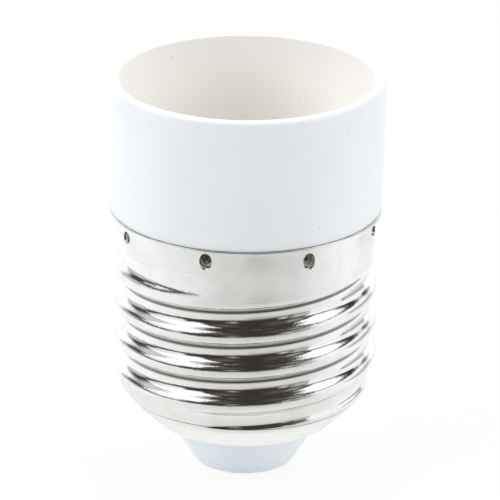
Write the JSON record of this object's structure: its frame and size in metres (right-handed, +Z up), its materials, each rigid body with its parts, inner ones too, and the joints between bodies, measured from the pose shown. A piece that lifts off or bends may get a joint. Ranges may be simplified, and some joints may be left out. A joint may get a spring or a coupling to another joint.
{
  "type": "lamp socket adapter",
  "caption": "Lamp socket adapter: a white moulded cup over a rolled metal screw shell, with a small lamp's screw sleeve and contact down inside the cup.",
  "frame": {"origin": "centre of the bottom contact's lowest face, on the axis", "axes": "+Z up the axis, out of the cup's mouth; -Y the front of the object as pictured; the link strip lies on the +Y side"},
  "size_m": [0.0276, 0.0276, 0.041],
  "materials": {
    "moulding": "smooth moulded thermoplastic, semi-gloss",
    "shell_plate": "bright nickel plating on rolled sheet",
    "sleeve_plate": "nickel plating on drawn sheet, duller inside",
    "spring_brass": "bare brass, lightly aged"
  },
  "bodies": {
    "root": {"housing": "moulding", "screw_shell": "shell_plate", "lamp_sleeve": "sleeve_plate", "link_strip": "spring_brass", "link_rivet": "spring_brass", "centre_contact": "spring_brass", "bottom_contact": "spring_brass"}
  },
  "joints": []
}
